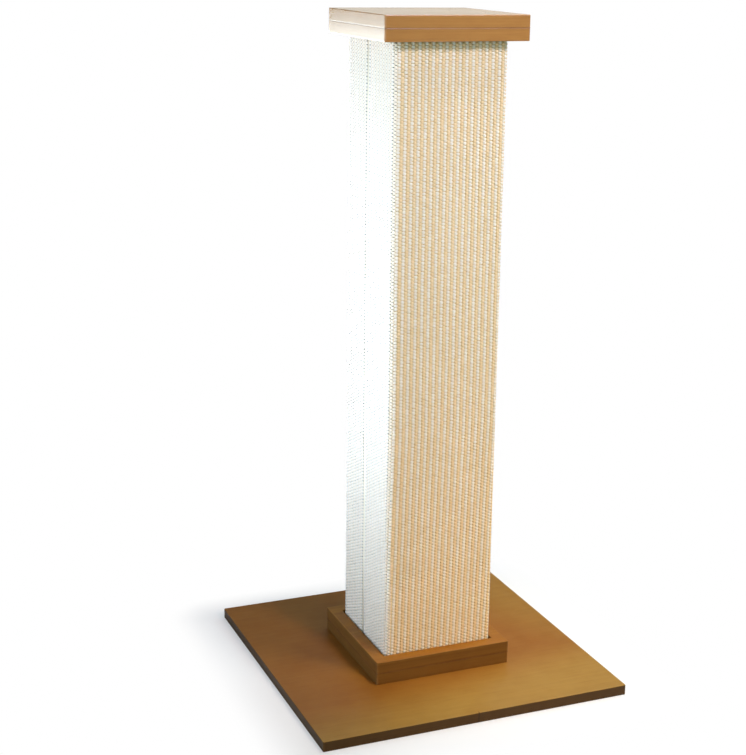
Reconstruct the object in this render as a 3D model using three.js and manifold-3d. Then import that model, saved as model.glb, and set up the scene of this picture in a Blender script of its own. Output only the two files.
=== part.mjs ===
// A free-standing cat scratching post. A square base board carries a two-layer collar, a hollow
// boarded post wrapped in woven sisal cloth stands in the collar, and a two-layer cap closes
// the top. Bolts come up through the base into a block in the foot of the post, so the post can
// be taken off its base. Millimetres, +Z up, the origin at the bottom centre of the base board.
// The golden front face looks along -Y, and the seam of the cloth is on the left face, -X.

import * as THREE from 'three';
import { mergeVertices } from 'three/addons/utils/BufferGeometryUtils.js';
import Module from 'manifold-3d';

const wasm = await Module();
wasm.setup();

// ---------------------------------------------------------------- driving dimensions

// Base board
const BASE_WIDTH = 400;
const BASE_THICKNESS = 13;
const BASE_CORNER = 1.6;

// Post: four core panels and two blocks, wrapped in cloth
const POST_WIDTH = 144; // over the cloth
const POST_LENGTH = 779;
const CLOTH_THICKNESS = 3;
const CLOTH_LIFT = 4; // lower edge of the cloth above the base board
const SEAM_OFFSET = 6; // seam from the middle of the left face, towards the back
const SEAM_GAP = 0.6;
const CORE_CORNER = 3.5;
const PANEL_THICKNESS = 12;
const FOOT_BLOCK_HEIGHT = 50;
const HEAD_BLOCK_HEIGHT = 36;

// Collar round the foot of the post
const COLLAR_LAYER = 15;
const COLLAR_RIM = 16;
const COLLAR_CLEARANCE = 2;
const COLLAR_CORNER = 1.6;

// Cap
const CAP_LAYER = 15;
const CAP_OVERHANG = 18;
const CAP_CORNER = 1.6;

// Edges and clearances
const SHOWN_EDGE = 1.0; // rounding of the long edges that are seen and touched
const JOINT_EDGE = 0.4; // rounding where two boards meet
const CONTACT = 0.2; // glue line, or hair gap, between pieces that meet
const FIT = 0.3; // round a shank, a head or a leg in its hole

// Bolts that hold the post to the base
const BOLT_INSET = 24; // bolt axis from the side of the foot block
const BOLT_DIAMETER = 8;
const BOLT_LENGTH = 45;
const BOLT_HEAD_DIAMETER = 17;
const BOLT_HEAD_HEIGHT = 2.8;
const BOLT_RECESS = 0.7; // head below the underside of the base
const SOCKET_WIDTH = 5;
const SOCKET_DEPTH = 2.2;
const WASHER_DIAMETER = 20;
const WASHER_THICKNESS = 1.5;
const COUNTERBORE_CLEARANCE = 1;
const INSERT_DIAMETER = 13;
const INSERT_LENGTH = 20;
const INSERT_RECESS = 0.5;
const INSERT_BARB_DEPTH = 0.8;
const INSERT_BARBS = 4;

// Countersunk screws, into the collar and into the head block
const SCREW_DIAMETER = 4;
const SCREW_HEAD_DIAMETER = 8;
const SCREW_RECESS = 0.5;
const SCREW_RIM = 0.5; // straight edge of the head above its cone
const SCREW_CROSS_WIDTH = 0.9;
const SCREW_CROSS_DEPTH = 1.6;
const COLLAR_SCREW_COVER = 8; // wood left above the tip
const CAP_SCREW_BITE = 20; // length in the head block
const CAP_SCREW_INSET = 22; // screw axis from the side of the head block

// Brads in the core
const BRAD_DIAMETER = 1.8;
const BRAD_HEAD_DIAMETER = 3;
const BRAD_HEAD_HEIGHT = 1;
const BRAD_LENGTH = 35;
const BRAD_RECESS = 0.3;
const CORNER_BRADS = 3; // along each long joint
const BLOCK_BRAD_OFFSET = 24; // from the middle of a panel

// Staples at the foot of the cloth, hidden in the collar
const STAPLE_CROWN = 10;
const STAPLE_LEG = 8;
const STAPLE_WIDTH = 1.2;
const STAPLE_THICKNESS = 0.7;
const STAPLE_RISE = 8; // above the lower edge of the cloth
const STAPLE_INSET = 36; // from the corner of the post

// Faceting
const CORNER_STEPS = 4;
const EDGE_STEPS = 3;
const BOLT_SIDES = 20;
const SCREW_SIDES = 12;
const BRAD_SIDES = 8;

// ---------------------------------------------------------------- sizes that follow

const POST_HALF = POST_WIDTH / 2;
const CORE_HALF = POST_HALF - CLOTH_THICKNESS;
const CORE_INNER = CORE_HALF - PANEL_THICKNESS;
const BLOCK_HALF = CORE_INNER - CONTACT;
const OPENING_HALF = POST_HALF + COLLAR_CLEARANCE;
const COLLAR_HALF = OPENING_HALF + COLLAR_RIM;
const CAP_HALF = POST_HALF + CAP_OVERHANG;

const BASE_TOP = BASE_THICKNESS;
const COLLAR_MIDDLE = BASE_TOP + COLLAR_LAYER;
const COLLAR_TOP = COLLAR_MIDDLE + COLLAR_LAYER;
const POST_TOP = BASE_TOP + POST_LENGTH;
const CAP_MIDDLE = POST_TOP + CAP_LAYER;
const CAP_TOP = CAP_MIDDLE + CAP_LAYER;
const POST_FOOT = BASE_TOP + CONTACT;
const CLOTH_FOOT = BASE_TOP + CLOTH_LIFT;

const UP = new THREE.Vector3(0, 0, 1);
const DOWN = new THREE.Vector3(0, 0, -1);

// The four sides of the post: outward direction, and the direction along the side
const SIDES = {
  front: { out: new THREE.Vector3(0, -1, 0), along: new THREE.Vector3(1, 0, 0) },
  right: { out: new THREE.Vector3(1, 0, 0), along: new THREE.Vector3(0, 1, 0) },
  back: { out: new THREE.Vector3(0, 1, 0), along: new THREE.Vector3(-1, 0, 0) },
  left: { out: new THREE.Vector3(-1, 0, 0), along: new THREE.Vector3(0, -1, 0) },
};

// ---------------------------------------------------------------- finishes

const finish = (color, roughness, metalness) =>
  new THREE.MeshStandardMaterial({ color, roughness, metalness });

const FINISHES = {
  baseBoard: () => finish(0xb07a42, 0.35, 0),
  edgeBoard: () => finish(0xa9763f, 0.4, 0),
  coreBoard: () => finish(0xc2a078, 0.8, 0),
  cloth: () => finish(0xe0c795, 0.95, 0),
  plated: () => finish(0xb9bbbd, 0.35, 1),
  insert: () => finish(0xc9a85a, 0.4, 1),
};

// ---------------------------------------------------------------- cutting and shaping

// A closed mesh as a solid that can be cut
function solid(geometry) {
  const bare = new THREE.BufferGeometry();
  bare.setAttribute('position', geometry.getAttribute('position'));
  bare.setIndex(geometry.getIndex());
  const merged = mergeVertices(bare, 1e-4);
  const corners = merged.getIndex().array;
  const triangles = [];
  for (let i = 0; i < corners.length; i += 3) {
    const [a, b, c] = corners.slice(i, i + 3);
    if (a !== b && b !== c && c !== a) {
      triangles.push(a, b, c);
    }
  }
  return new wasm.Manifold(new wasm.Mesh({
    numProp: 3,
    vertProperties: new Float32Array(merged.getAttribute('position').array),
    triVerts: new Uint32Array(triangles),
  }));
}

// The geometry of a piece with the cutters taken out of it
function cut(geometry, cutters) {
  let body = solid(geometry);
  for (const cutter of cutters) {
    body = body.subtract(solid(cutter));
  }
  const mesh = body.getMesh();
  const result = new THREE.BufferGeometry();
  result.setAttribute('position', new THREE.BufferAttribute(mesh.vertProperties, 3));
  result.setIndex(new THREE.BufferAttribute(mesh.triVerts, 1));
  result.computeVertexNormals();
  return result;
}

// A square outline with rounded corners, as [x, y] points
function squareOutline(half, radius) {
  const centre = half - radius;
  const corners = [[1, 1], [-1, 1], [-1, -1], [1, -1]];
  return corners.flatMap(([sideX, sideY], corner) => {
    const points = [];
    for (let step = 0; step <= CORNER_STEPS; step++) {
      const angle = (corner + step / CORNER_STEPS) * Math.PI / 2;
      points.push([
        sideX * centre + radius * Math.cos(angle),
        sideY * centre + radius * Math.sin(angle),
      ]);
    }
    return points;
  });
}

// A closed solid through a stack of square outlines, each { half, radius, z }
function stack(levels) {
  const rings = levels.map(({ half, radius }) => squareOutline(half, radius));
  const count = rings[0].length;
  const last = (levels.length - 1) * count;
  const positions = rings.flatMap((ring, level) => ring.flatMap(([x, y]) => [x, y, levels[level].z]));
  const index = [];
  for (let corner = 0; corner < last; corner++) {
    const next = corner % count === count - 1 ? corner + 1 - count : corner + 1;
    index.push(corner, next, next + count);
    index.push(corner, next + count, corner + count);
  }
  for (let corner = 1; corner + 1 < count; corner++) {
    index.push(0, corner + 1, corner);
    index.push(last, last + corner, last + corner + 1);
  }
  const geometry = new THREE.BufferGeometry();
  geometry.setAttribute('position', new THREE.Float32BufferAttribute(positions, 3));
  geometry.setIndex(index);
  return geometry;
}

// A square board with rounded long edges, from low to high
function board({ half, corner, low, high, lowEdge, highEdge }) {
  const levels = [];
  const addLevel = (inset, z) => {
    levels.push({ half: half - inset, radius: Math.max(corner - inset, corner / 2), z });
  };
  for (let step = 0; step <= EDGE_STEPS; step++) {
    const turn = (step / EDGE_STEPS) * Math.PI / 2;
    addLevel(lowEdge * (1 - Math.sin(turn)), low + lowEdge * (1 - Math.cos(turn)));
  }
  for (let step = EDGE_STEPS; step >= 0; step--) {
    const turn = (step / EDGE_STEPS) * Math.PI / 2;
    addLevel(highEdge * (1 - Math.sin(turn)), high - highEdge * (1 - Math.cos(turn)));
  }
  return stack(levels);
}

// A plain block between two corners
function block(low, high) {
  const size = new THREE.Vector3().subVectors(high, low);
  const centre = new THREE.Vector3().addVectors(low, high).multiplyScalar(0.5);
  return new THREE.BoxGeometry(size.x, size.y, size.z).translate(centre.x, centre.y, centre.z);
}

// A turned piece about Z, from a profile of [radius, height] points
function turned(profile, sides) {
  const points = profile.map(([radius, height]) => new THREE.Vector2(radius, height));
  return new THREE.LatheGeometry(points, sides).rotateX(Math.PI / 2);
}

// Hardware is made with its head at the origin, looking along +Z, and is set in a seat
function seat(at, out) {
  const turn = new THREE.Quaternion().setFromUnitVectors(UP, out);
  return new THREE.Matrix4().compose(at, turn, new THREE.Vector3(1, 1, 1));
}

// ---------------------------------------------------------------- hardware

// A countersunk wood screw; its hole is the same form, grown by the fit and open at the mouth
function screwForm(length, grow = 0, mouth = 0) {
  const shank = SCREW_DIAMETER / 2 + grow;
  const head = SCREW_HEAD_DIAMETER / 2 + grow;
  const cone = SCREW_RIM + (SCREW_HEAD_DIAMETER - SCREW_DIAMETER) / 2 + grow;
  const tip = length + grow;
  return turned([
    [0, -tip],
    [shank, -tip + SCREW_DIAMETER],
    [shank, -cone],
    [head, -SCREW_RIM],
    [head, mouth],
    [0, mouth],
  ], SCREW_SIDES);
}

function screw(length) {
  const reach = SCREW_HEAD_DIAMETER * 0.6;
  const long = new THREE.BoxGeometry(reach, SCREW_CROSS_WIDTH, 2 * SCREW_CROSS_DEPTH);
  const cross = new THREE.BoxGeometry(SCREW_CROSS_WIDTH, reach, 2 * SCREW_CROSS_DEPTH);
  return cut(screwForm(length), [long, cross]);
}

const screwHole = (length) => screwForm(length, FIT, 2 * SCREW_RECESS);

function bolt() {
  const shank = BOLT_DIAMETER / 2;
  const head = BOLT_HEAD_DIAMETER / 2;
  const tip = BOLT_HEAD_HEIGHT + BOLT_LENGTH;
  const chamfer = BOLT_DIAMETER / 8;
  const form = turned([
    [0, -tip],
    [shank - chamfer, -tip],
    [shank, -tip + chamfer],
    [shank, -BOLT_HEAD_HEIGHT],
    [head, -BOLT_HEAD_HEIGHT],
    [head, -chamfer],
    [head - chamfer, 0],
    [0, 0],
  ], BOLT_SIDES);
  const socketRadius = SOCKET_WIDTH / Math.sqrt(3);
  const socket = new THREE.CylinderGeometry(socketRadius, socketRadius, 2 * SOCKET_DEPTH, 6);
  return cut(form, [socket.rotateX(Math.PI / 2)]);
}

// Height of the counterbore's floor, where the washer lies
const WASHER_LOW = BOLT_RECESS + BOLT_HEAD_HEIGHT + CONTACT;
const COUNTERBORE_DEPTH = WASHER_LOW + WASHER_THICKNESS + CONTACT;

function washer() {
  const inner = BOLT_DIAMETER / 2 + FIT;
  const outer = WASHER_DIAMETER / 2;
  return turned([
    [inner, 0],
    [outer, 0],
    [outer, WASHER_THICKNESS],
    [inner, WASHER_THICKNESS],
    [inner, 0],
  ], BOLT_SIDES);
}

// A barbed insert, its mouth at the origin, looking along +Z
function insert() {
  const bore = BOLT_DIAMETER / 2 + FIT;
  const outer = INSERT_DIAMETER / 2;
  const barb = INSERT_LENGTH / (INSERT_BARBS + 1);
  const profile = [[bore, -INSERT_LENGTH], [outer - INSERT_BARB_DEPTH, -INSERT_LENGTH]];
  for (let step = 0; step < INSERT_BARBS; step++) {
    const low = -INSERT_LENGTH + step * barb;
    profile.push([outer, low + barb]);
    profile.push([outer - INSERT_BARB_DEPTH, low + barb]);
  }
  profile.push([outer - INSERT_BARB_DEPTH, 0]);
  profile.push([bore, 0]);
  profile.push([bore, -INSERT_LENGTH]);
  return turned(profile, BOLT_SIDES);
}

// The counterbore in the base board and the hole above it
function baseBoltHole() {
  const wide = WASHER_DIAMETER / 2 + COUNTERBORE_CLEARANCE;
  const narrow = BOLT_DIAMETER / 2 + FIT;
  return turned([
    [0, -BASE_THICKNESS - 1],
    [narrow, -BASE_THICKNESS - 1],
    [narrow, -COUNTERBORE_DEPTH],
    [wide, -COUNTERBORE_DEPTH],
    [wide, 1],
    [0, 1],
  ], BOLT_SIDES);
}

// The hole through the foot block, wider where the insert sits
function blockBoltHole() {
  const wide = INSERT_DIAMETER / 2 + FIT;
  const narrow = BOLT_DIAMETER / 2 + FIT;
  const step = INSERT_RECESS + INSERT_LENGTH + FIT;
  return turned([
    [0, -FOOT_BLOCK_HEIGHT - 1],
    [narrow, -FOOT_BLOCK_HEIGHT - 1],
    [narrow, -step],
    [wide, -step],
    [wide, 1],
    [0, 1],
  ], BOLT_SIDES);
}

// A headed brad, or its hole
function bradForm(grow = 0, mouth = 0) {
  const shank = BRAD_DIAMETER / 2 + grow;
  const head = BRAD_HEAD_DIAMETER / 2 + grow;
  const tip = BRAD_LENGTH + grow;
  return turned([
    [0, -tip],
    [shank, -tip + BRAD_DIAMETER],
    [shank, -BRAD_HEAD_HEIGHT - grow],
    [head, -BRAD_HEAD_HEIGHT - grow],
    [head, mouth],
    [0, mouth],
  ], BRAD_SIDES);
}

const bradHole = () => bradForm(FIT, 2 * BRAD_RECESS);

// A staple, its crown along X on the face at the origin
function staple() {
  const half = STAPLE_CROWN / 2;
  const shape = new THREE.Shape();
  shape.moveTo(-half, -STAPLE_LEG);
  shape.lineTo(-half + STAPLE_THICKNESS, -STAPLE_LEG);
  shape.lineTo(-half + STAPLE_THICKNESS, 0);
  shape.lineTo(half - STAPLE_THICKNESS, 0);
  shape.lineTo(half - STAPLE_THICKNESS, -STAPLE_LEG);
  shape.lineTo(half, -STAPLE_LEG);
  shape.lineTo(half, STAPLE_THICKNESS);
  shape.lineTo(-half, STAPLE_THICKNESS);
  shape.closePath();
  const form = new THREE.ExtrudeGeometry(shape, { depth: STAPLE_WIDTH, bevelEnabled: false });
  return form.translate(0, 0, -STAPLE_WIDTH / 2).rotateX(Math.PI / 2);
}

// The two slots that a staple's legs go into
function stapleSlots() {
  const middle = (STAPLE_CROWN - STAPLE_THICKNESS) / 2;
  const width = STAPLE_THICKNESS + 2 * FIT;
  const depth = STAPLE_LEG + FIT;
  return [-middle, middle].map((x) => block(
    new THREE.Vector3(x - width / 2, -STAPLE_WIDTH / 2 - FIT, -depth),
    new THREE.Vector3(x + width / 2, STAPLE_WIDTH / 2 + FIT, 1),
  ));
}

// ---------------------------------------------------------------- where the hardware sits

const fourCorners = (reach) => [[1, 1], [-1, 1], [-1, -1], [1, -1]]
  .map(([sideX, sideY]) => [sideX * reach, sideY * reach]);

const collarScrewSeats = fourCorners(OPENING_HALF + COLLAR_RIM / 2)
  .map(([x, y]) => seat(new THREE.Vector3(x, y, SCREW_RECESS), DOWN));
const capScrewSeats = fourCorners(BLOCK_HALF - CAP_SCREW_INSET)
  .map(([x, y]) => seat(new THREE.Vector3(x, y, CAP_MIDDLE - SCREW_RECESS), UP));
const COLLAR_SCREW_LENGTH = COLLAR_TOP - COLLAR_SCREW_COVER - SCREW_RECESS;
const CAP_SCREW_LENGTH = CAP_LAYER + CAP_SCREW_BITE;

const boltX = [-1, 1].map((side) => side * (BLOCK_HALF - BOLT_INSET));
const underBase = (x, z) => seat(new THREE.Vector3(x, 0, z), DOWN);

// Brads through the front and back panels into the edges of the side panels
const cornerBradSeats = [SIDES.front, SIDES.back].flatMap(({ out, along }) => {
  const seats = [];
  for (const side of [-1, 1]) {
    for (let step = 0; step < CORNER_BRADS; step++) {
      const at = out.clone().multiplyScalar(CORE_HALF - BRAD_RECESS);
      at.addScaledVector(along, side * (CORE_HALF - PANEL_THICKNESS / 2));
      at.z = BASE_TOP + POST_LENGTH * (step + 0.5) / CORNER_BRADS;
      seats.push(seat(at, out));
    }
  }
  return seats;
});

// Brads through each panel into the two blocks
const FOOT_BLOCK_MIDDLE = POST_FOOT + FOOT_BLOCK_HEIGHT / 2;
const HEAD_BLOCK_MIDDLE = POST_TOP - HEAD_BLOCK_HEIGHT / 2;
const blockBradSeats = Object.values(SIDES).flatMap(({ out, along }) => (
  [FOOT_BLOCK_MIDDLE, HEAD_BLOCK_MIDDLE].map((z) => {
    const at = out.clone().multiplyScalar(CORE_HALF - BRAD_RECESS);
    at.addScaledVector(along, BLOCK_BRAD_OFFSET);
    at.z = z;
    return seat(at, out);
  })
));

// A staple's crown lies level, so its own X is turned to run along the side
const stapleSeats = Object.values(SIDES).flatMap(({ out, along }) => (
  [-1, 1].map((side) => {
    const at = out.clone().multiplyScalar(POST_HALF + CONTACT);
    at.addScaledVector(along, side * (POST_HALF - STAPLE_INSET));
    at.z = CLOTH_FOOT + STAPLE_RISE;
    const level = new THREE.Vector3().crossVectors(out, along);
    return new THREE.Matrix4().makeBasis(along, level, out).setPosition(at);
  })
));

const holes = (seats, form) => seats.flatMap((place) => (
  [form()].flat().map((hole) => hole.applyMatrix4(place))
));

// ---------------------------------------------------------------- the pieces

const post = new THREE.Group();

function add(name, geometry, material, place = new THREE.Matrix4()) {
  const mesh = new THREE.Mesh(geometry, material);
  mesh.name = name;
  mesh.applyMatrix4(place);
  post.add(mesh);
}

function addCopies(name, seats, form, material) {
  seats.forEach((place, copy) => add(`${name}_${copy + 1}`, form(), material(), place));
}

function baseBoard() {
  const form = board({
    half: BASE_WIDTH / 2,
    corner: BASE_CORNER,
    low: 0,
    high: BASE_TOP,
    lowEdge: JOINT_EDGE,
    highEdge: SHOWN_EDGE,
  });
  return cut(form, [
    ...holes(boltX.map((x) => underBase(x, 0)), baseBoltHole),
    ...holes(collarScrewSeats, () => screwHole(COLLAR_SCREW_LENGTH)),
  ]);
}

// One layer of the collar, cut from a single square of board, its opening eased at the top
function collarRing(low, high, highEdge) {
  const form = board({
    half: COLLAR_HALF,
    corner: COLLAR_CORNER,
    low: low + CONTACT,
    high,
    lowEdge: JOINT_EDGE,
    highEdge,
  });
  const opening = stack([
    { half: OPENING_HALF, radius: JOINT_EDGE, z: low },
    { half: OPENING_HALF, radius: JOINT_EDGE, z: high - highEdge / 2 },
    { half: OPENING_HALF + highEdge / 2, radius: JOINT_EDGE, z: high },
    { half: OPENING_HALF + highEdge / 2, radius: JOINT_EDGE, z: high + 1 },
  ]);
  return cut(form, [opening, ...holes(collarScrewSeats, () => screwHole(COLLAR_SCREW_LENGTH))]);
}

// A front or back panel, as wide as the core, its two outer corners rounded
function widePanel(side) {
  const shape = new THREE.Shape();
  const outer = CORE_HALF;
  const inner = CORE_INNER;
  const centre = CORE_HALF - CORE_CORNER;
  shape.moveTo(outer, inner);
  shape.absarc(centre, centre, CORE_CORNER, 0, Math.PI / 2, false);
  shape.absarc(-centre, centre, CORE_CORNER, Math.PI / 2, Math.PI, false);
  shape.lineTo(-outer, inner);
  shape.closePath();
  const depth = POST_TOP - POST_FOOT;
  const form = new THREE.ExtrudeGeometry(shape, {
    depth,
    bevelEnabled: false,
    curveSegments: CORNER_STEPS,
  });
  form.translate(0, 0, POST_FOOT);
  if (side === SIDES.front) {
    form.rotateZ(Math.PI);
  }
  return cut(form, panelHoles());
}

// A left or right panel, between the front and the back
function narrowPanel(side) {
  const middle = CORE_HALF - PANEL_THICKNESS / 2;
  const form = new THREE.BoxGeometry(PANEL_THICKNESS, 2 * BLOCK_HALF, POST_TOP - POST_FOOT);
  form.translate(side.out.x * middle, 0, (POST_TOP + POST_FOOT) / 2);
  return cut(form, panelHoles());
}

const panelHoles = () => [
  ...holes(cornerBradSeats, bradHole),
  ...holes(blockBradSeats, bradHole),
  ...holes(stapleSeats, stapleSlots),
];

function footBlock() {
  const form = block(
    new THREE.Vector3(-BLOCK_HALF, -BLOCK_HALF, POST_FOOT),
    new THREE.Vector3(BLOCK_HALF, BLOCK_HALF, POST_FOOT + FOOT_BLOCK_HEIGHT),
  );
  return cut(form, [
    ...holes(boltX.map((x) => underBase(x, POST_FOOT)), blockBoltHole),
    ...holes(blockBradSeats, bradHole),
  ]);
}

function headBlock() {
  const form = block(
    new THREE.Vector3(-BLOCK_HALF, -BLOCK_HALF, POST_TOP - HEAD_BLOCK_HEIGHT),
    new THREE.Vector3(BLOCK_HALF, BLOCK_HALF, POST_TOP),
  );
  return cut(form, [
    ...holes(capScrewSeats, () => screwHole(CAP_SCREW_LENGTH)),
    ...holes(blockBradSeats, bradHole),
  ]);
}

// The cloth, one wrap of even thickness, open at its seam
function sisalSleeve() {
  const toShape = (half, radius) => squareOutline(half, radius)
    .map(([x, y]) => new THREE.Vector2(x, y));
  const shape = new THREE.Shape(toShape(POST_HALF, CORE_CORNER + CLOTH_THICKNESS));
  shape.holes.push(new THREE.Path(toShape(CORE_HALF + CONTACT, CORE_CORNER + CONTACT)));
  const form = new THREE.ExtrudeGeometry(shape, {
    depth: POST_TOP - CLOTH_FOOT,
    bevelEnabled: false,
  });
  form.translate(0, 0, CLOTH_FOOT);
  const seam = block(
    new THREE.Vector3(-POST_HALF - 1, SEAM_OFFSET - SEAM_GAP / 2, CLOTH_FOOT - 1),
    new THREE.Vector3(-CORE_HALF + 1, SEAM_OFFSET + SEAM_GAP / 2, POST_TOP + 1),
  );
  return cut(form, [seam, ...holes(stapleSeats, stapleSlots)]);
}

function capBoard({ low, high, lowEdge, highEdge }) {
  return board({ half: CAP_HALF, corner: CAP_CORNER, low: low + CONTACT, high, lowEdge, highEdge });
}

function capLowerBoard() {
  const form = capBoard({
    low: POST_TOP,
    high: CAP_MIDDLE,
    lowEdge: SHOWN_EDGE,
    highEdge: JOINT_EDGE,
  });
  return cut(form, holes(capScrewSeats, () => screwHole(CAP_SCREW_LENGTH)));
}

function capUpperBoard() {
  return capBoard({
    low: CAP_MIDDLE,
    high: CAP_TOP,
    lowEdge: JOINT_EDGE,
    highEdge: SHOWN_EDGE,
  });
}

// Base
add('base_board', baseBoard(), FINISHES.baseBoard());

// Collar
add('collar_lower_ring', collarRing(BASE_TOP, COLLAR_MIDDLE, JOINT_EDGE), FINISHES.edgeBoard());
add('collar_upper_ring', collarRing(COLLAR_MIDDLE, COLLAR_TOP, SHOWN_EDGE), FINISHES.edgeBoard());
addCopies('collar_screw', collarScrewSeats, () => screw(COLLAR_SCREW_LENGTH), FINISHES.plated);

// Core of the post
add('core_front_panel', widePanel(SIDES.front), FINISHES.coreBoard());
add('core_back_panel', widePanel(SIDES.back), FINISHES.coreBoard());
add('core_left_panel', narrowPanel(SIDES.left), FINISHES.coreBoard());
add('core_right_panel', narrowPanel(SIDES.right), FINISHES.coreBoard());
add('foot_block', footBlock(), FINISHES.coreBoard());
add('head_block', headBlock(), FINISHES.coreBoard());
addCopies('corner_brad', cornerBradSeats, bradForm, FINISHES.plated);
addCopies('block_brad', blockBradSeats, bradForm, FINISHES.plated);

// Cloth
add('sisal_sleeve', sisalSleeve(), FINISHES.cloth());
addCopies('cloth_staple', stapleSeats, staple, FINISHES.plated);

// Cap
add('cap_lower_board', capLowerBoard(), FINISHES.edgeBoard());
add('cap_upper_board', capUpperBoard(), FINISHES.edgeBoard());
addCopies('cap_screw', capScrewSeats, () => screw(CAP_SCREW_LENGTH), FINISHES.plated);

// Bolts that hold the post down
addCopies('base_bolt', boltX.map((x) => underBase(x, BOLT_RECESS)), bolt, FINISHES.plated);
addCopies(
  'bolt_washer',
  boltX.map((x) => new THREE.Matrix4().makeTranslation(x, 0, WASHER_LOW)),
  washer,
  FINISHES.plated,
);
addCopies(
  'threaded_insert',
  boltX.map((x) => underBase(x, POST_FOOT + INSERT_RECESS)),
  insert,
  FINISHES.insert,
);

export default post;
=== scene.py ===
# A free-standing cat scratching post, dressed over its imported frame. A square base board carries
# a two-layer collar, a hollow post wrapped in woven sisal cloth stands in the collar, and a
# two-layer cap closes the top. Metres, +Z up, the origin at the bottom centre of the base board.

import math

import bpy
from mathutils import Matrix, Vector


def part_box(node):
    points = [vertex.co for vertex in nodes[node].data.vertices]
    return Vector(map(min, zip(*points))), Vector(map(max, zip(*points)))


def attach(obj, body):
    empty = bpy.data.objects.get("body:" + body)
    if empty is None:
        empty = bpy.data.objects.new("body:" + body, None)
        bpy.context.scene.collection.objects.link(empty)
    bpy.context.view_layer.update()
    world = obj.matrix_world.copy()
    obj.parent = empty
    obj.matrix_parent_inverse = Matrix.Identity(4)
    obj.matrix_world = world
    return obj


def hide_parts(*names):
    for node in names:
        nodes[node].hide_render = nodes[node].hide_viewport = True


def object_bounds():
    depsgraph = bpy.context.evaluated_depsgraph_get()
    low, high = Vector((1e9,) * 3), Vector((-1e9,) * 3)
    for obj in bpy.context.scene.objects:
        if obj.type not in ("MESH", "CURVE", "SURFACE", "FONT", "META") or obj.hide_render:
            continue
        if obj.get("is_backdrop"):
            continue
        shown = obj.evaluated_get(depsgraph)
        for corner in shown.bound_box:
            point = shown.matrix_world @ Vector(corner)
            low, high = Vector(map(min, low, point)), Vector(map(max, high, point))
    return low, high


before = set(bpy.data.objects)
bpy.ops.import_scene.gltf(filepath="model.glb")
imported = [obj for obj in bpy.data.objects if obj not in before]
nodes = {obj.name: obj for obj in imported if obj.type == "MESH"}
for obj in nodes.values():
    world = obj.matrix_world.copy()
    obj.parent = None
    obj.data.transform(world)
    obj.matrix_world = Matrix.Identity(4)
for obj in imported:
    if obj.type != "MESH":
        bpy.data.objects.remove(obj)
scene = bpy.context.scene
cad_low, cad_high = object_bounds()


# ---------------------------------------------------------------- camera
# It stands in front of the post and to its left, a little above the cap, and looks down at it.

CAMERA_PLACE = Vector((-0.753026, -1.723054, 0.900281))
CAMERA_AZIMUTH = math.radians(-23.383)
CAMERA_ELEVATION = math.radians(15.481)
CAMERA_ROLL = math.radians(1.047)
CAMERA_LENS = 74.634
CAMERA_SHIFT = (-0.0549, -0.0035)
CAMERA_REACH = (0.05, 60)
FILM_WIDTH = 36

back = Vector((
    math.sin(CAMERA_AZIMUTH) * math.cos(CAMERA_ELEVATION),
    -math.cos(CAMERA_AZIMUTH) * math.cos(CAMERA_ELEVATION),
    math.sin(CAMERA_ELEVATION),
))
level = (-back).cross(Vector((0, 0, 1))).normalized()
upright = level.cross(-back)
right = math.cos(CAMERA_ROLL) * level + math.sin(CAMERA_ROLL) * upright
up = math.cos(CAMERA_ROLL) * upright - math.sin(CAMERA_ROLL) * level

lens = bpy.data.cameras.new("camera")
lens.lens = CAMERA_LENS
lens.sensor_width = FILM_WIDTH
lens.shift_x, lens.shift_y = CAMERA_SHIFT
lens.clip_start, lens.clip_end = CAMERA_REACH
camera = bpy.data.objects.new("camera", lens)
scene.collection.objects.link(camera)
camera.matrix_world = Matrix((
    (right.x, up.x, back.x, CAMERA_PLACE.x),
    (right.y, up.y, back.y, CAMERA_PLACE.y),
    (right.z, up.z, back.z, CAMERA_PLACE.z),
    (0, 0, 0, 1),
))
scene.camera = camera


# ---------------------------------------------------------------- studio
# A plain white floor that keeps the shadow and fades to white away from the base, white
# surroundings, and soft lamps. Each is aimed at one side or one part of the post.

CORNERS = ((-1, -1), (1, -1), (1, 1), (-1, 1))
FLOOR_HALF = 30
FLOOR_DROP = 0.0006
BASE_EDGE = cad_high.x
OPENING = BASE_EDGE - 0.006
FADE_WIDTH = 0.075
FADE_AT_BASE = 0.45
FLOOR_SHADE = 0.8
FLOOR_SEEN = 1.0
ROOM_LIGHT = (0.95, 0.97, 1.0)
ROOM_STRENGTH = 0.1


class Socket:
    """One output of a node. Arithmetic on it adds Math nodes to the same recipe."""

    def __init__(self, recipe, output):
        self.recipe, self.output = recipe, output

    def __add__(self, other):
        return self.recipe.maths("ADD", self, other)

    def __sub__(self, other):
        return self.recipe.maths("SUBTRACT", self, other)

    def __rsub__(self, other):
        return self.recipe.maths("SUBTRACT", other, self)

    def __mul__(self, other):
        return self.recipe.maths("MULTIPLY", self, other)

    def __truediv__(self, other):
        return self.recipe.maths("DIVIDE", self, other)

    def __rtruediv__(self, other):
        return self.recipe.maths("DIVIDE", other, self)

    def __pow__(self, other):
        return self.recipe.maths("POWER", self, other)

    def __abs__(self):
        return self.recipe.maths("ABSOLUTE", self)

    __radd__ = __add__
    __rmul__ = __mul__


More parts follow.
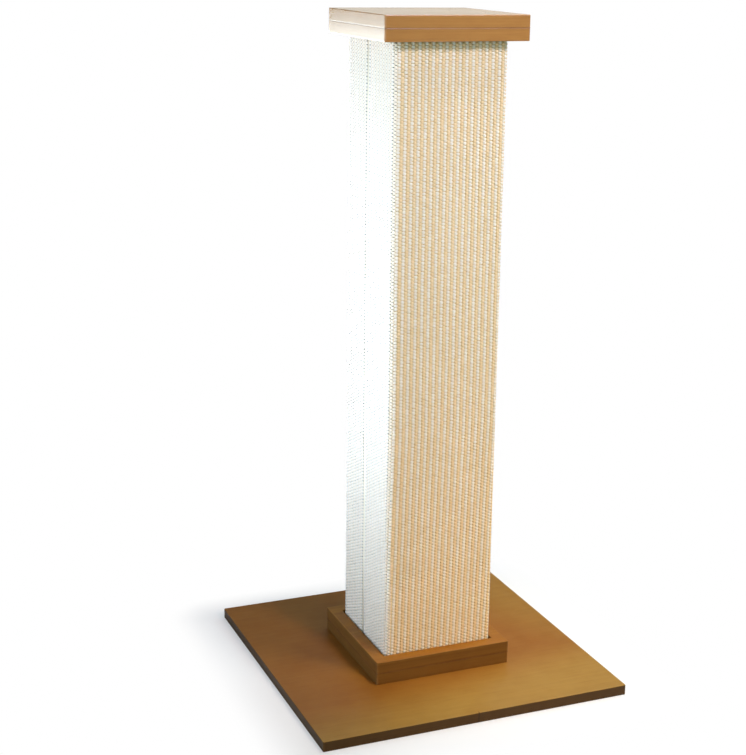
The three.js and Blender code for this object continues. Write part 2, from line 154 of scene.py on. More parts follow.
class Recipe:
    """A node tree: the finish of a surface, or the rule of a shape that repeats."""

    def __init__(self, tree):
        self.tree = tree
        tree.nodes.clear()

    def node(self, kind, settings=None, sockets=None, output=0):
        made = self.tree.nodes.new(kind)
        for key, value in (settings or {}).items():
            setattr(made, key, value)
        for key, value in (sockets or {}).items():
            live = [s for s in made.inputs if s.enabled]
            socket = live[key] if isinstance(key, int) else next(s for s in live if s.name == key)
            if isinstance(value, Socket):
                self.tree.links.new(value.output, socket)
            else:
                socket.default_value = value
        live = [s for s in made.outputs if s.enabled]
        if not live:
            return None
        found = live[output] if isinstance(output, int) else next(s for s in live if s.name == output)
        return Socket(self, found)

    def maths(self, operation, *values):
        return self.node("ShaderNodeMath", {"operation": operation}, dict(enumerate(values)))

    def ramp(self, value, low, high, start=0.0, end=1.0, bend="SMOOTHSTEP"):
        """start where value is at low, end where it is at high, and smooth between them."""
        return self.node(
            "ShaderNodeMapRange",
            {"interpolation_type": bend},
            {0: value, 1: low, 2: high, 3: start, 4: end},
        )

    def mix(self, share, first, second, blend="MIX"):
        return self.node(
            "ShaderNodeMix",
            {"data_type": "RGBA", "blend_type": blend, "clamp_factor": True},
            {"Factor": share, "A": first, "B": second},
        )

    def deepen(self, share, colour, tint):
        """colour, darkened towards colour times tint as far as share says."""
        return self.mix(share, colour, self.mix(1.0, colour, tint, "MULTIPLY"))

    def split(self, vector):
        parts = self.node("ShaderNodeSeparateXYZ", sockets={0: vector}).output.node.outputs
        return [Socket(self, part) for part in parts]

    def join(self, x, y, z):
        return self.node("ShaderNodeCombineXYZ", sockets={0: x, 1: y, 2: z})

    def noise(self, vector, scale, detail=2.0, roughness=0.5):
        return self.node(
            "ShaderNodeTexNoise",
            sockets={"Vector": vector, "Scale": scale, "Detail": detail, "Roughness": roughness},
        )

    def relief(self, strength, depth, height):
        """A bump of this depth, for the Normal socket of a shader."""
        return self.node(
            "ShaderNodeBump",
            sockets={"Strength": strength, "Distance": depth, "Height": height},
        )

    def finish(self, sockets):
        """Ends the recipe of a surface with its shader."""
        shader = self.node("ShaderNodeBsdfPrincipled", sockets=sockets)
        self.node("ShaderNodeOutputMaterial", sockets={0: shader})


def material_recipe(name):
    material = bpy.data.materials.new(name)
    material.use_nodes = True
    return material, Recipe(material.node_tree)


world = bpy.data.worlds.new("studio")
scene.world = world
world.use_nodes = True
air = Recipe(world.node_tree)
rays = air.node("ShaderNodeLightPath").output.node.outputs
seen = air.maths(
    "MAXIMUM",
    Socket(air, rays["Is Camera Ray"]),
    Socket(air, rays["Is Transmission Ray"]),
)
glow = air.node(
    "ShaderNodeBackground",
    sockets={"Color": (*ROOM_LIGHT, 1), "Strength": ROOM_STRENGTH},
)
white = air.node("ShaderNodeBackground", sockets={"Color": (1, 1, 1, 1), "Strength": 1.0})
air.node(
    "ShaderNodeOutputWorld",
    sockets={0: air.node("ShaderNodeMixShader", sockets={0: seen, 1: glow, 2: white})},
)

floor_material, ground = material_recipe("studio_floor")
rays = ground.node("ShaderNodeLightPath").output.node.outputs
seen = Socket(ground, rays["Is Camera Ray"])
spot = ground.split(ground.node("ShaderNodeTexCoord", output="Object"))
past_x = ground.maths("MAXIMUM", abs(spot[0]) - BASE_EDGE, 0.0)
past_y = ground.maths("MAXIMUM", abs(spot[1]) - BASE_EDGE, 0.0)
distance = ground.maths("SQRT", past_x * past_x + past_y * past_y)
fade = ground.ramp(distance, 0.0, FADE_WIDTH, FADE_AT_BASE)
shade = FLOOR_SHADE + seen * (FLOOR_SEEN - FLOOR_SHADE)
matt = ground.node("ShaderNodeBsdfDiffuse", sockets={"Color": ground.join(shade, shade, shade)})
bright = ground.node("ShaderNodeEmission", sockets={"Color": (1, 1, 1, 1), "Strength": 1.0})
surface = ground.node("ShaderNodeMixShader", sockets={0: fade * seen, 1: matt, 2: bright})
clear = ground.node("ShaderNodeBsdfTransparent")
below = ground.node("ShaderNodeNewGeometry", output="Backfacing")
# under the base the floor is left open, so that the underside gets light too
inner = ground.maths("MAXIMUM", abs(spot[0]), abs(spot[1]))
opening = ground.ramp(inner, OPENING, OPENING + 0.002, 1.0, 0.0)
below = ground.maths("MAXIMUM", below, opening)
ground.node(
    "ShaderNodeOutputMaterial",
    sockets={0: ground.node("ShaderNodeMixShader", sockets={0: below, 1: surface, 2: clear})},
)
floor_mesh = bpy.data.meshes.new("studio_floor")
floor_mesh.from_pydata(
    [(x * FLOOR_HALF, y * FLOOR_HALF, -FLOOR_DROP) for x, y in CORNERS],
    [],
    [(0, 1, 2, 3)],
)
floor_mesh.materials.append(floor_material)
studio_floor = bpy.data.objects.new("studio_floor", floor_mesh)
scene.collection.objects.link(studio_floor)
studio_floor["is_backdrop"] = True

# name: place, aimed at, width, height, spread of the beam in degrees, watts of red, green, blue
LAMPS = {
    "key_lamp": ((0.75, -2.3, 2.25), (0.1, 0, 0.9), 0.7, 0.8, 24, (2.42, 2.38, 3.15)),
    "front_lamp": ((-0.6, -2.45, 0.9), (0, 0, 0.65), 1.0, 1.0, 60, (2.13, 3.0, 3.0)),
    "low_front_lamp": ((0.5, -2.2, 1.4), (0.04, -0.12, 0.08), 0.3, 0.3, 18, (0.23, 0.11, 0.03)),
    "top_lamp": ((0.6, -0.6, 2.4), (0.21, -0.09, 0), 0.5, 0.5, 24, (1.12, 1.06, 0.96)),
    "right_lamp": ((1.6, 0.7, 1.5), (0, 0, 0.2), 1.0, 1.0, 180, (8.5, 12.4, 13.2)),
    "left_lamp": ((-1.7, 0, 0.35), (0, 0, 0.5), 0.5, 0.3, 40, (1.72, 2.1, 2.85)),
    "corner_lamp": ((-1.5, -0.55, 0.9), (0, 0, 0.45), 0.5, 0.5, 40, (0.46, 0.5, 0.86)),
    "window_lamp": ((-0.65, 1.5, 0.35), (0, 0, 0.9), 0.8, 0.7, 50, (2.5, 2.88, 2.95)),
    "cap_lamp": ((0.78, 1.8, 1.5), (0, 0, 0.85), 1.3, 0.9, 60, (0.69, 0.69, 0.62)),
}
for name, (place, aim, wide, tall, spread, watts) in LAMPS.items():
    light = bpy.data.lights.new(name, "AREA")
    light.shape = "RECTANGLE"
    light.size, light.size_y = wide, tall
    light.spread = math.radians(spread)
    light.energy = max(watts)
    light.color = [channel / max(watts) for channel in watts]
    lamp = bpy.data.objects.new(name, light)
    lamp.visible_camera = False
    scene.collection.objects.link(lamp)
    lamp.location = place
    lamp.rotation_mode = "QUATERNION"
    lamp.rotation_quaternion = (Vector(aim) - Vector(place)).to_track_quat("-Z", "Y")


# ---------------------------------------------------------------- base board
# One square of pressed board, 400 x 400 x 13 mm, stained a golden brown under a thin satin
# lacquer. Its rim is stained darker and shows where the strip round it meets at the front. Its top
# is coloured darker brown towards the left and back as painted shade, and paler and more golden
# along the front edge and at the right as painted light.

BASE_HALF, _, BASE_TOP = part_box("base_board")[1]
EDGE_ROUND = 0.0010
JOINT_ROUND = 0.0004
CORNER_RUB = 0.0030
STRIP_END = -0.0022
STRIP_LEAN = 0.05
STRIP_GAP = 0.00025


def stain(red, green, blue):
    """A colour as it looks, 0 to 255, as the light that it gives back."""
    channels = [c / 255 for c in (red, green, blue)]
    return (*[c / 12.92 if c <= 0.04045 else ((c + 0.055) / 1.055) ** 2.4 for c in channels], 1)


def stained_board(name, face, rim, half, high, joint=None, strip_end=None, painted_light_tone=None,
                  coat=0.05, dull=0.45, streak=0.1):
    """Stained board: face on its flat sides and rim on its edges. half is half its width and high
    is where its top lies. joint is the height of a glue line, strip_end the place along X where
    the strip round the rim meets, painted_light_tone the paler tone painted as light on the flat
    sides along the front edge and at the right, and streak says how much the grain shows."""
    material, wood = material_recipe(name)
    x, y, z = wood.split(wood.node("ShaderNodeTexCoord", output="Object"))
    flat = wood.ramp(
        abs(wood.split(wood.node("ShaderNodeTexCoord", output="Normal"))[2]), 0.35, 0.75
    )

    def streaks(along, across, through, detail):
        """Marks per metre that run along X on the flat sides, and along the edge on the rim."""
        spot = wood.join(x * along, y * (along + flat * across), z * through)
        return wood.noise(spot, 1.0, detail, 0.6)

    grain = streaks(along=6, across=170, through=420, detail=4.0)
    fibre = streaks(along=42, across=1250, through=1900, detail=2.0)
    cloud = wood.noise(wood.join(x, y, z), 7.5, 3.0, 0.5)
    blotch = wood.noise(wood.join(x, y, z * 3), 34.0, 3.0, 0.55)
    speck = wood.noise(wood.join(x, y, z), 900.0, 1.0, 0.5)
    if painted_light_tone is not None:
        # painted light: the flat sides turn paler and more golden along the front edge, and a little
        # at the right edge
        front_light_pool = wood.ramp(x * 0.2 - y, 0.075, 0.18)
        right_light_pool = wood.ramp(x + y * 0.5, 0.12, 0.22, 0.0, 0.55)
        face = wood.mix(wood.maths("MAXIMUM", front_light_pool, right_light_pool), face, painted_light_tone)
    colour = wood.mix(flat, rim, face)
    colour = wood.deepen(wood.ramp(grain, 0.3, 0.72, 0.0, streak), colour, stain(150, 118, 86))
    colour = wood.deepen(wood.ramp(cloud, 0.3, 0.75, 0.0, 0.35), colour, stain(240, 226, 200))
    colour = wood.deepen(wood.ramp(blotch, 0.35, 0.7, 0.0, 0.18), colour, stain(222, 206, 180))
    colour = wood.deepen(wood.ramp(fibre, 0.52, 0.72, 0.0, 0.16), colour, stain(170, 138, 104))
    # handled corners are rubbed a little paler
    side = wood.maths("MAXIMUM", abs(x), abs(y))
    ends = wood.maths("MINIMUM", abs(x), abs(y))
    top_rub = wood.ramp(z, high - EDGE_ROUND, high - 0.1 * EDGE_ROUND)
    rim_rub = wood.ramp(side, half - EDGE_ROUND, half - 0.1 * EDGE_ROUND)
    corner_rub = wood.ramp(ends, half - CORNER_RUB, half - 0.0004)
    rub = wood.maths("MAXIMUM", top_rub * rim_rub * 2.2, corner_rub * 0.8)
    patchy = wood.ramp(wood.noise(wood.join(x, y, z), 60.0, 3.0, 0.6), 0.35, 0.65, 0.25, 1.0)
    colour = wood.mix(wood.maths("MINIMUM", rub * patchy, 1.0) * 0.16, colour, stain(196, 152, 96))
    if joint is not None:
        line = wood.ramp(abs(z - joint), JOINT_ROUND, 3 * JOINT_ROUND, 1.0, 0.0)
        colour = wood.deepen(line * (0.3 + 0.8 * blotch), colour, stain(176, 156, 132))
    if strip_end is not None:
        # its cut end leans a little and shows on the front edge alone
        bend = strip_end + (z - 0.5 * high) * STRIP_LEAN
        line = wood.ramp(abs(x - bend), STRIP_GAP, 0.0008, 1.0, 0.0)
        line = line * wood.ramp(y, -half + 0.004, -half + 0.002)
        colour = wood.mix(line * 0.75, colour, stain(34, 22, 8))
    wood.finish({
        "Base Color": colour,
        "Roughness": dull + (cloud - 0.5) * 0.10 + (blotch - 0.5) * 0.10 + rub * 0.05,
        "Specular IOR Level": 0.2,
        "Coat Weight": coat,
        "Coat Roughness": 0.24,
        "Normal": wood.relief(0.18, 0.0002, grain * 0.4 + fibre * 0.3 + speck * 0.25),
    })
    return material


GLUE_GAP = 0.0002
GLUE_DEPTH = 0.006
GLUE_CLEAR = 0.00001
BEAD_SWELL = 0.0001
BEAD_SUNK = 0.00012


def glue_line(name, half, height, finish):
    """The hair of glue between two boards, with the bead that stands in the groove round them.
    height is the top of the lower board."""
    inside, neck, bead = half - GLUE_DEPTH, half - JOINT_ROUND, half - BEAD_SUNK
    under, over = GLUE_CLEAR, GLUE_GAP - GLUE_CLEAR
    profile = (
        (inside, under), (neck, under), (bead, -BEAD_SWELL),
        (bead, GLUE_GAP + BEAD_SWELL), (neck, over), (inside, over),
    )
    spots = [
        (way_x * reach, way_y * reach, height + lift)
        for way_x, way_y in CORNERS
        for reach, lift in profile
    ]
    count = len(profile)
    faces = []
    for corner in range(4):
        here, there = corner * count, (corner + 1) % 4 * count
        for step in range(count):
            after = (step + 1) % count
            faces.append((here + step, there + step, there + after, here + after))
    mesh = bpy.data.meshes.new(name)
    mesh.from_pydata(spots, [], faces)
    mesh.materials.append(finish)
    piece = bpy.data.objects.new(name, mesh)
    scene.collection.objects.link(piece)
    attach(piece, "root")


def give(node, material):
    """Puts a finish on a node of the frame, whose mesh stays as it is."""
    piece = nodes[node]
    if not piece.material_slots:
        piece.data.materials.append(material)
    for place in piece.material_slots:
        place.material = material


give("base_board", stained_board(
    "base_stain",
    # face: a darkened brown, painted shade over the top; the tone given below is painted light at the
    # front and right
    stain(152, 99, 34),
    stain(76, 51, 12),
    half=BASE_HALF,
    high=BASE_TOP,
    strip_end=STRIP_END,
    painted_light_tone=stain(167, 129, 57),
))


# ---------------------------------------------------------------- collar
# Two square rings of 15 mm board, glued one on the other with a thin bead in the joint, and
# screwed down from under the base. They leave 2 mm round the post. Their cut edges are coloured
# darker than the top, partly for the stain they drink and partly as painted shade on the sides.

COLLAR_HALF, _, COLLAR_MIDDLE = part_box("collar_lower_ring")[1]
COLLAR_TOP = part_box("collar_upper_ring")[1].z
COLLAR_GLUE = stain(112, 74, 30)

for ring, high in (("collar_lower_ring", COLLAR_MIDDLE), ("collar_upper_ring", COLLAR_TOP)):
    give(ring, stained_board(
        ring + "_stain",
        stain(163, 108, 31),
        # rim: darker, partly stain and partly painted shade on the sides
        stain(122, 84, 33),
        half=COLLAR_HALF,
        high=high,
        joint=COLLAR_MIDDLE,
        streak=0.3,
    ))
glue_line("collar_glue_line", COLLAR_HALF, COLLAR_MIDDLE, stained_board(
    "collar_glue", COLLAR_GLUE, COLLAR_GLUE, half=COLLAR_HALF, high=COLLAR_TOP,
))


# ---------------------------------------------------------------- screws, bolts, washers, brads
# Zinc plated steel: countersunk screws up into the collar and down into the head of the post,
# brads in the core, and two flat-headed bolts with washers up through the base.


def plated_metal(name, colour, rough):
    """Turned or plated metal, with the fine rings of the tool and a faint bloom."""
    material, metal = material_recipe(name)
    place = metal.node("ShaderNodeTexCoord", output="Object")
    x, y, z = metal.split(place)
    rings = metal.noise(metal.join(x * 900, y * 900, z * 5200), 1.0, 2.0, 0.6)
    bloom = metal.noise(place, 260.0, 3.0, 0.6)
    metal.finish({
        "Base Color": metal.deepen(
            metal.ramp(bloom, 0.35, 0.75, 0.0, 0.45), colour, stain(214, 220, 232)
        ),
        "Metallic": 1.0,
        "Roughness": rough + (bloom - 0.5) * 0.22,
        "Normal": metal.relief(0.15, 0.00008, rings),
    })
    return material


zinc = plated_metal("zinc_plate", stain(206, 208, 210), 0.34)
brass = plated_metal("turned_brass", stain(214, 178, 106), 0.3)
STEEL_PARTS = (
    "collar_screw", "cap_screw", "corner_brad", "block_brad", "cloth_staple", "base_bolt",
    "bolt_washer",
)
for name in nodes:
    if name.startswith(STEEL_PARTS):
        give(name, zinc)
    elif name.startswith("threaded_insert"):
        give(name, brass)


# ---------------------------------------------------------------- core of the post
# Four panels of raw fibreboard, glued and pinned along the corners, with a thick block at the
# foot for the bolts and one at the head for the cap. The cloth hides all of it.

raw_board, felt = material_recipe("raw_fibreboard")
place = felt.node("ShaderNodeTexCoord", output="Object")
flakes = felt.noise(place, 520.0, 4.0, 0.65)
drift = felt.noise(place, 14.0, 2.0, 0.5)
tone = felt.mix(felt.ramp(flakes, 0.35, 0.7), stain(170, 134, 96), stain(212, 184, 144))
tone = felt.mix(felt.ramp(drift, 0.3, 0.7, 0.0, 0.3), tone, stain(184, 150, 112))
felt.finish({
    "Base Color": tone,
    "Roughness": 0.82 + (flakes - 0.5) * 0.2,
    "Specular IOR Level": 0.2,
    "Normal": felt.relief(0.35, 0.0003, flakes),
})
CORE_PANELS = ["core_front_panel", "core_back_panel", "core_left_panel", "core_right_panel"]
for name in CORE_PANELS + ["foot_block", "head_block"]:
    give(name, raw_board)


# ---------------------------------------------------------------- sisal cloth
# Heavy sisal in plain weave, one strip wrapped tight round the post, closed by a butted seam up
# the left face. On that face the yarns are painted paler as painted light, with painted shade on
# their flanks and between them. Bleached and natural yarns take turns, so the bleached ones fill
# every other column as pale ribs, half a row away from the golden ones between them.

sleeve_low, sleeve_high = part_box("sisal_sleeve")
POST_FACE = sleeve_high.x
CLOTH_FOOT, CLOTH_HEAD = sleeve_low.z, sleeve_high.z
CLOTH_INSIDE = POST_FACE - 0.0028
GROUND_FACE = POST_FACE - 0.0015
CORNER = 0.0065
FLAT = POST_FACE - CORNER
BEND = CORNER * math.pi / 2
QUARTER = 2 * FLAT + BEND
ROUND = 4 * QUARTER
SEAM_PLACE = -0.0060
SEAM_OPENING = 0.0003
SEAM_YARN_HALF = 0.0026
# the edges of the cloth swell by the lip between these two distances from the seam
SEAM_LIP = 0.0007
LIP_FULL = 0.0015
LIP_START = 0.0050
RIBS = 67
RIB_PITCH = 0.00837
FIRST_RIB = 0.00145
SLICES_PER_RIB = 6
ROWS = 190
CLOTH_END = 0.0003
ROW_PITCH = (CLOTH_HEAD - CLOTH_FOOT - 2 * CLOTH_END) / ROWS
# below this height the cloth is pulled a little to the left, except near the seam
SLIP_HEIGHT = 0.335
SLIP = 0.0235
SEAM_HOLD = 0.004
SLIP_FULL = 0.060
SLIP_FADES = 0.090
# on the left face the yarns are painted paler as painted light, with painted shade on their flanks
# and on the ground between them
LEFT_PAINT_FROM = FLAT - 0.0005
LEFT_PAINT_TO = FLAT + 0.0015
PAINTED_LEFT_LIGHT = stain(244, 236, 214)
PAINTED_LEFT_FLANK_SHADE = stain(150, 156, 138)
PAINTED_LEFT_GROUND_SHADE = stain(104, 102, 86)
SEAM_YARN = stain(242, 232, 200)


def slip(weave, along, height):
    """How far the cloth has been pulled round the post here."""
    drop = weave.maths("MAXIMUM", SLIP_HEIGHT - height, 0.0)
    near = weave.ramp(along, SEAM_PLACE + SEAM_HOLD, SLIP_FULL)
    far = weave.ramp(along, ROUND - SLIP_FADES, ROUND + SEAM_PLACE - SEAM_HOLD, 1.0, 0.0)
    return drop * near * far * SLIP


def round_the_post(weave, along, depth, height):
    """Where a spot of the flat cloth lies on the post. along runs from the middle of the left
    face round the front, and depth is measured from the axis of the post."""
    quarter = weave.maths("FLOOR", along / QUARTER)
    way = along - quarter * QUARTER
    turn = weave.ramp(way, FLAT, FLAT + BEND, 0.0, math.pi / 2, "LINEAR")
    reach = depth - FLAT
    past = weave.maths("MAXIMUM", way - (QUARTER - FLAT), 0.0)
    out = FLAT + weave.maths("COSINE", turn) * reach - past
    side = weave.maths("MINIMUM", way, FLAT) + weave.maths("SINE", turn) * reach
    return weave.node("ShaderNodeVectorRotate", {"rotation_type": "Z_AXIS"}, {
        "Vector": weave.join(0 - out, 0 - side, height),
        "Angle": quarter * (math.pi / 2),
    })


def start_weave(name, sizes):
    """A tree with these named sizes, and the sockets that carry them."""
    tree = bpy.data.node_groups.new(name, "GeometryNodeTree")
    weave = Recipe(tree)
    for size, value in sizes.items():
        kind = "NodeSocketInt" if isinstance(value, int) else "NodeSocketFloat"
        tree.interface.new_socket(name=size, in_out="INPUT", socket_type=kind).default_value = value
    tree.interface.new_socket(name="Finish", in_out="INPUT", socket_type="NodeSocketMaterial")
    tree.interface.new_socket(name="Mesh", in_out="OUTPUT", socket_type="NodeSocketGeometry")
    outputs = tree.nodes.new("NodeGroupInput").outputs
    return weave, {item.name: Socket(weave, item) for item in outputs if item.name}


def finish_weave(weave, mesh, finish):
    """Makes the flat weave real, wraps it round the post and gives it its finish."""
    mesh = weave.node("GeometryNodeRealizeInstances", sockets={"Geometry": mesh})
    along, depth, height = weave.split(weave.node("GeometryNodeInputPosition"))
    mesh = weave.node("GeometryNodeSetPosition", sockets={
        "Geometry": mesh,
        "Position": round_the_post(weave, along - slip(weave, along, height), depth, height),
    })
    mesh = weave.node("GeometryNodeFlipFaces", sockets={"Mesh": mesh})
    mesh = weave.node("GeometryNodeSetShadeSmooth", sockets={"Geometry": mesh})
    mesh = weave.node("GeometryNodeSetMaterial", sockets={"Geometry": mesh, "Material": finish})
    weave.node("NodeGroupOutput", sockets={0: mesh})


def grow(name, weave, sizes):
    """Grows a piece from its tree, and keeps it as a plain mesh."""
    piece = bpy.data.objects.new(name, bpy.data.meshes.new(name + "_seed"))
    scene.collection.objects.link(piece)
    grower = piece.modifiers.new("grow", "NODES")
    grower.node_group = weave.tree
    for item in weave.tree.interface.items_tree:
        if item.name in sizes:
            grower[item.identifier] = sizes[item.name]
    depsgraph = bpy.context.evaluated_depsgraph_get()
    mesh = bpy.data.meshes.new_from_object(
        piece.evaluated_get(depsgraph), preserve_all_data_layers=True, depsgraph=depsgraph
    )
    piece.modifiers.remove(grower)
    piece.data = mesh
    mesh.name = name
    return piece


def on_the_left(fibre):
    """1 on the left face, where the cloth is painted paler and its grooves darker for the strong
    light that falls there, and 0 on the others.
    """
    x = fibre.split(fibre.node("ShaderNodeTexCoord", output="Object"))[0]
    return fibre.ramp(0 - x, LEFT_PAINT_FROM, LEFT_PAINT_TO)


ground_yarn, spun = material_recipe("sisal_ground")
x, y, z = spun.split(spun.node("ShaderNodeTexCoord", output="Object"))
cord_streak = spun.noise(spun.join(x * 900, y * 900, z * 90), 1.0, 3.0, 0.6)
tone = spun.mix(spun.ramp(cord_streak, 0.3, 0.7), stain(186, 150, 96), stain(222, 192, 138))
at_seam = spun.ramp(abs(y + SEAM_PLACE), SEAM_YARN_HALF, SEAM_YARN_HALF + 0.001, 1.0, 0.0)
# painted shade on the ground between the yarns of the left face, with pale yarn kept at the seam
tone = spun.mix(on_the_left(spun), tone, spun.mix(at_seam, PAINTED_LEFT_GROUND_SHADE, SEAM_YARN))
spun.finish({
    "Base Color": tone,
    "Roughness": 0.85,
    "Specular IOR Level": 0.2,
    "Normal": spun.relief(0.5, 0.0004, cord_streak),
})

weave, size = start_weave("sisal_ground", {"Start": 0.0, "Length": 0.5})
slab = weave.node("GeometryNodeMeshCube", sockets={
    "Size": (1, 1, 1), "Vertices X": RIBS * SLICES_PER_RIB + 1, "Vertices Y": 2, "Vertices Z": 2,
})
u, v, w = weave.split(weave.node("GeometryNodeInputPosition"))
along = size["Start"] + (u + 0.5) * size["Length"]
to_seam = weave.maths("MINIMUM", along - SEAM_PLACE, SEAM_PLACE + ROUND - along)
face = GROUND_FACE + weave.ramp(to_seam, LIP_FULL, LIP_START, SEAM_LIP, 0.0)
depth = CLOTH_INSIDE + (v + 0.5) * (face - CLOTH_INSIDE)
slab = weave.node("GeometryNodeSetPosition", sockets={
    "Geometry": slab,
    "Position": weave.join(along, depth, CLOTH_FOOT + (w + 0.5) * (CLOTH_HEAD - CLOTH_FOOT)),
})
finish_weave(weave, slab, size["Finish"])
cloth = grow("sisal_cloth", weave, {
    "Start": SEAM_PLACE + SEAM_OPENING / 2,
    "Length": ROUND - SEAM_OPENING,
    "Finish": ground_yarn,
})

# One stitch of yarn: a short grain across a column, fat on its crest and tucked in at both ends
YARN_CREST = POST_FACE - 0.0004
YARN_TUCK = POST_FACE - 0.0018
YARN_HALF_THICK = 0.0012
YARN_HALF_TALL = ROW_PITCH * 0.52
YARN_DROP = ROW_PITCH * 0.2
COLUMN_WANDER = 0.0010
ROW_WANDER = 0.0016


def spun_yarn(name, tucked, crest):
    """Twisted sisal yarn, with the crest tone where it shows and the tucked tone where it dives into
    the cloth: a painted highlight on the crest and painted shade in the tuck.
    """
    material, fibre = material_recipe(name)
    strand = fibre.node("ShaderNodeAttribute", {"attribute_name": "strand"}, output="Vector")
    way, girth, rise = fibre.split(strand)
    lot = fibre.node("ShaderNodeAttribute", {"attribute_name": "lot"}, output="Fac")
    fibres = fibre.noise(
        fibre.join(way * 300, (girth + way * 0.45) * 5200, lot * 40), 1.0, 2.0, 0.6
    )
    # painted light and shade across the rib: paler on the crest, more golden where the yarn tucks in
    tone = fibre.mix(fibre.ramp(rise, 0.35, 0.9), tucked, crest)
    tone = fibre.deepen(lot * 0.4, tone, stain(240, 228, 206))
    tone = fibre.deepen(fibre.ramp(fibres, 0.5, 0.75, 0.0, 0.4), tone, stain(226, 204, 168))
    # painted shade on the flanks of the yarns on the left face
    flank = fibre.ramp(abs(girth), 0.7 * YARN_HALF_THICK, 1.5 * YARN_HALF_THICK)
    painted_left = fibre.mix(flank, PAINTED_LEFT_LIGHT, PAINTED_LEFT_FLANK_SHADE)
    # painted light on the left face, strongest on the crest of each yarn
    tone = fibre.mix(on_the_left(fibre) * (0.3 + rise * 0.45), tone, painted_left)
    fibre.finish({
        "Base Color": tone,
        "Roughness": 0.66 + (fibres - 0.5) * 0.3,
        "Specular IOR Level": 0.3,
        "Normal": fibre.relief(0.5, 0.0003, fibres),
    })
    return material


bleached = spun_yarn("bleached_sisal", stain(228, 206, 162), stain(238, 229, 210))
natural = spun_yarn("natural_sisal", stain(220, 190, 136), stain(240, 212, 162))

weave, size = start_weave("sisal_yarns", {
    "First column": 0,
    "Columns": 17,
    "Rows": ROWS,
    "Column shift": 0.0,
    "Row shift": 0.0,
    "Length": 0.005,
    "Lift": 0.0,
    "Seed": 7,
})
grain = weave.node(
    "GeometryNodeMeshCylinder",
    {"fill_type": "NGON"},
    {"Vertices": 6, "Side Segments": 4, "Fill Segments": 1, "Radius": 1.0, "Depth": 1.0},
    "Mesh",
)
grain = weave.node("GeometryNodeTransform", sockets={
    "Geometry": grain, "Rotation": (0, 0, math.radians(30)),
})
tall, thick, way = weave.split(weave.node("GeometryNodeInputPosition"))
arch = weave.maths("SINE", (way + 0.5) * math.pi) ** 0.75
turn = weave.maths("ARCTAN2", tall, thick)
grain = weave.node(
    "GeometryNodeStoreNamedAttribute",
    {"data_type": "FLOAT_VECTOR", "domain": "POINT"},
    {"Geometry": grain, "Name": "strand", "Value": weave.join(
        way * size["Length"], turn * YARN_HALF_THICK, arch)},
)
crest = YARN_CREST + size["Lift"]
grain = weave.node("GeometryNodeSetPosition", sockets={"Geometry": grain, "Position": weave.join(
    way * size["Length"],
    YARN_TUCK + arch * (crest - YARN_TUCK) + thick * (0.62 + arch * 0.38) * YARN_HALF_THICK,
    tall * (0.6 + arch * 0.4) * YARN_HALF_TALL - way * YARN_DROP,
)})
grain = weave.node("GeometryNodeFlipFaces", sockets={"Mesh": grain})
number = weave.node("GeometryNodeInputIndex")
column = weave.maths("FLOOR", (number + 0.5) / size["Rows"])
row = number - column * size["Rows"]
column_along = FIRST_RIB + (size["First column"] + column + size["Column shift"]) * RIB_PITCH
row_height = CLOTH_FOOT + CLOTH_END + (row + 0.5 + size["Row shift"]) * ROW_PITCH


def chance(low, high, salt):
    """A random number for each yarn, the same one at every run."""
    return weave.node(
        "FunctionNodeRandomValue",
        {"data_type": "FLOAT"},
        {
            "Min": low,
            "Max": high,
            "ID": number + size["First column"] * 1000,
            "Seed": size["Seed"] + salt,
        },
    )


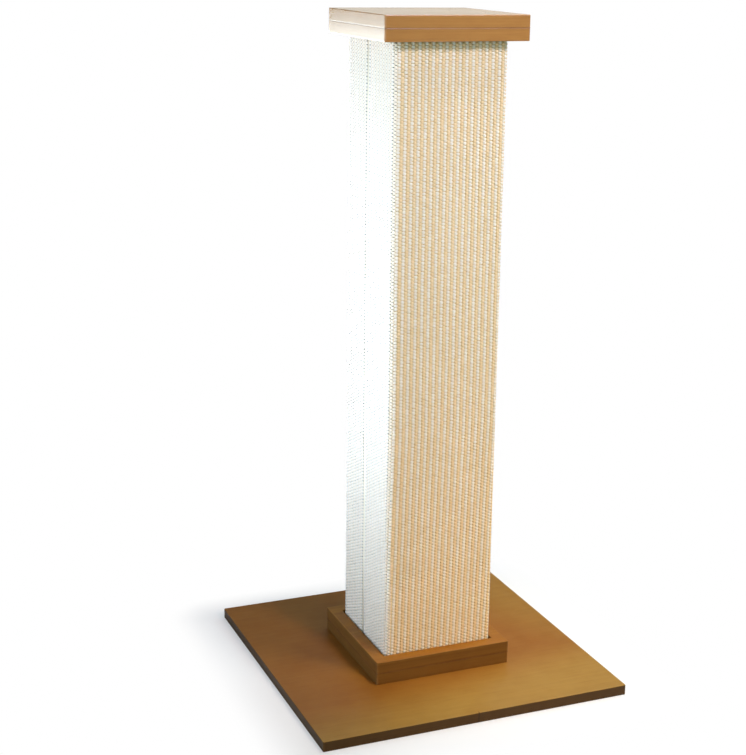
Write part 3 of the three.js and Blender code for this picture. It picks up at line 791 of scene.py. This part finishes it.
# the columns wander and the rows run a little crooked, and no two yarns lie quite alike
drift = weave.noise(weave.join(column_along * 30, 0.0, row_height * 9), 1.0, 1.0, 0.5)
skew = weave.noise(weave.join(column_along * 9, 4.0, row_height * 7), 1.0, 1.0, 0.5)
spots = weave.node("GeometryNodePoints", sockets={
    "Count": size["Columns"] * size["Rows"],
    "Position": weave.join(
        column_along + (drift - 0.5) * COLUMN_WANDER + chance(-0.00012, 0.00012, 1),
        chance(-0.00014, 0.00010, 2),
        row_height + (skew - 0.5) * ROW_WANDER + chance(-0.00016, 0.00016, 3),
    ),
})
yarns = weave.node("GeometryNodeInstanceOnPoints", sockets={
    "Points": spots,
    "Instance": grain,
    "Rotation": weave.join(0.0, chance(-0.07, 0.07, 4), 0.0),
    "Scale": weave.join(1.0, 1.0, chance(0.90, 1.04, 5)),
})
yarns = weave.node(
    "GeometryNodeStoreNamedAttribute",
    {"data_type": "FLOAT", "domain": "INSTANCE"},
    {"Geometry": yarns, "Name": "lot", "Value": chance(0.0, 1.0, 6)},
)
finish_weave(weave, yarns, size["Finish"])

SIDES = ("front_left", "front_right", "back_right", "back_left")
yarn_pieces = []
for kind, finish, shift, columns, length, lift, seed in (
    ("bleached", bleached, 0.0, (17, 17, 17, 16), 0.0056, 0.0002, 7),
    ("natural", natural, 0.5, (17, 17, 16, 16), 0.0050, 0.0, 31),
):
    first = 0
    for side, count in zip(SIDES, columns):
        yarn_pieces.append(grow(kind + "_yarns_" + side, weave, {
            "First column": first,
            "Columns": count,
            "Rows": ROWS if shift == 0 else ROWS - 1,
            "Column shift": shift,
            "Row shift": shift,
            "Length": length,
            "Lift": lift,
            "Seed": seed,
            "Finish": finish,
        }))
        first += count

for piece in [cloth, *yarn_pieces]:
    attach(piece, "root")
    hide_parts("sisal_sleeve")


# ---------------------------------------------------------------- cap
# Two squares of 15 mm board, glued together with the line between them showing, and screwed to
# the head of the post through the lower one. The lacquer on it is glossier than on the base.

CAP_HALF, _, CAP_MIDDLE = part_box("cap_lower_board")[1]
CAP_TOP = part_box("cap_upper_board")[1].z
CAP_GLUE = stain(150, 110, 64)

for board, high in (("cap_lower_board", CAP_MIDDLE), ("cap_upper_board", CAP_TOP)):
    give(board, stained_board(
        board + "_stain",
        stain(186, 138, 82),
        stain(163, 114, 55),
        half=CAP_HALF,
        high=high,
        joint=CAP_MIDDLE,
        coat=0.7,
        dull=0.3,
        streak=0.18,
    ))
glue_line("cap_glue_line", CAP_HALF, CAP_MIDDLE, stained_board(
    "cap_glue", CAP_GLUE, CAP_GLUE, half=CAP_HALF, high=CAP_TOP, coat=0.2, dull=0.5,
))


# ---------------------------------------------------------------- colour and size
# The colours are shown as they are, and the size of the dressed part is measured; the bare frame
# was measured when it was loaded.

scene.view_settings.view_transform = "Standard"

low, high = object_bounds()
